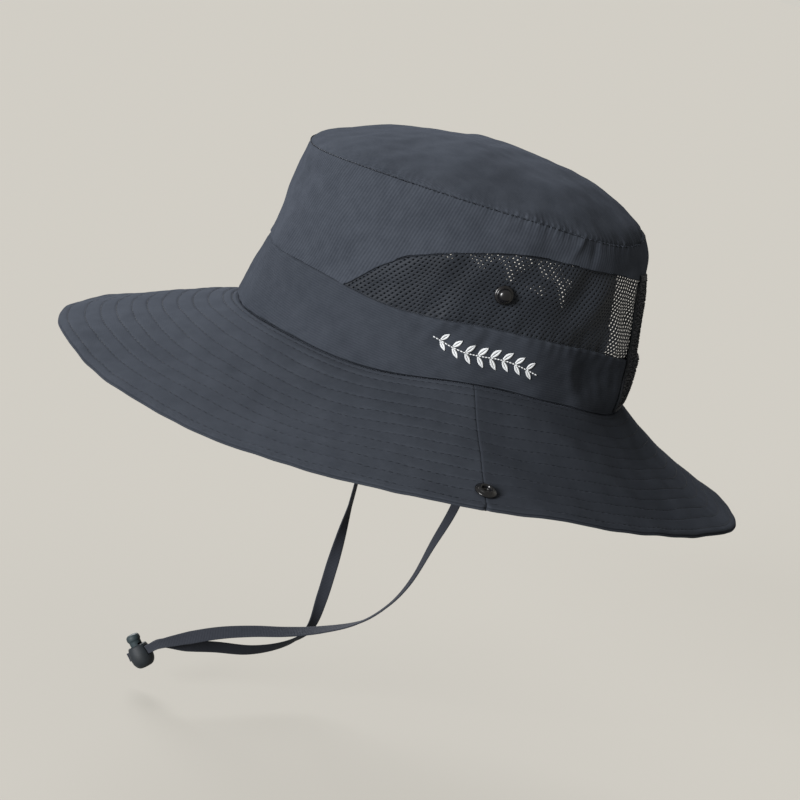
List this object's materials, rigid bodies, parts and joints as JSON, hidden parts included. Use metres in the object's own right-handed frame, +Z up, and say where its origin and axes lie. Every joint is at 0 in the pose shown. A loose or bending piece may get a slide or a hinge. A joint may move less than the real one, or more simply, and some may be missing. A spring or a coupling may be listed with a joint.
{
  "type": "sun hat",
  "caption": "Wide-brimmed cloth sun hat with net side windows, a ponytail opening at the back, press studs and a ribbon chin strap with a sprung cord lock.",
  "frame": {"origin": "middle of the head opening, level with the foot of the crown at the front, where the hat sits on the head", "axes": "+Z up through the crown, -Y towards the front of the brim, +X towards the wearer's left"},
  "size_m": [0.3198, 0.3545, 0.3019],
  "materials": {
    "cloth": "fine-woven charcoal cotton blend with a faint sheen",
    "net": "black fine polyester net",
    "tape": "black fastening tape",
    "ribbon": "black woven ribbon",
    "stud": "glossy black moulded plastic",
    "toggle": "satin dark grey moulded plastic"
  },
  "bodies": {
    "root": {"crown_top": "cloth", "crown_side": "cloth", "crown_band": "cloth", "mesh_left": "net", "mesh_right": "net", "back_tape_left": "tape", "back_tape_right": "tape", "brim_front": "cloth", "brim_back": "cloth", "crown_snap_left": "stud", "crown_snap_right": "stud", "brim_snap_left": "stud", "brim_snap_right": "stud", "chin_strap": "ribbon", "toggle_body": "toggle"},
    "button": {"toggle_button": "toggle"}
  },
  "joints": [
    {"name": "button_press", "type": "slide", "parent": "root", "child": "button", "axis": [0.366, 0.597, -0.7139], "range_m": [0, 0.0025], "stiffness_N_per_m": 400, "springref_m": -0.002}
  ]
}
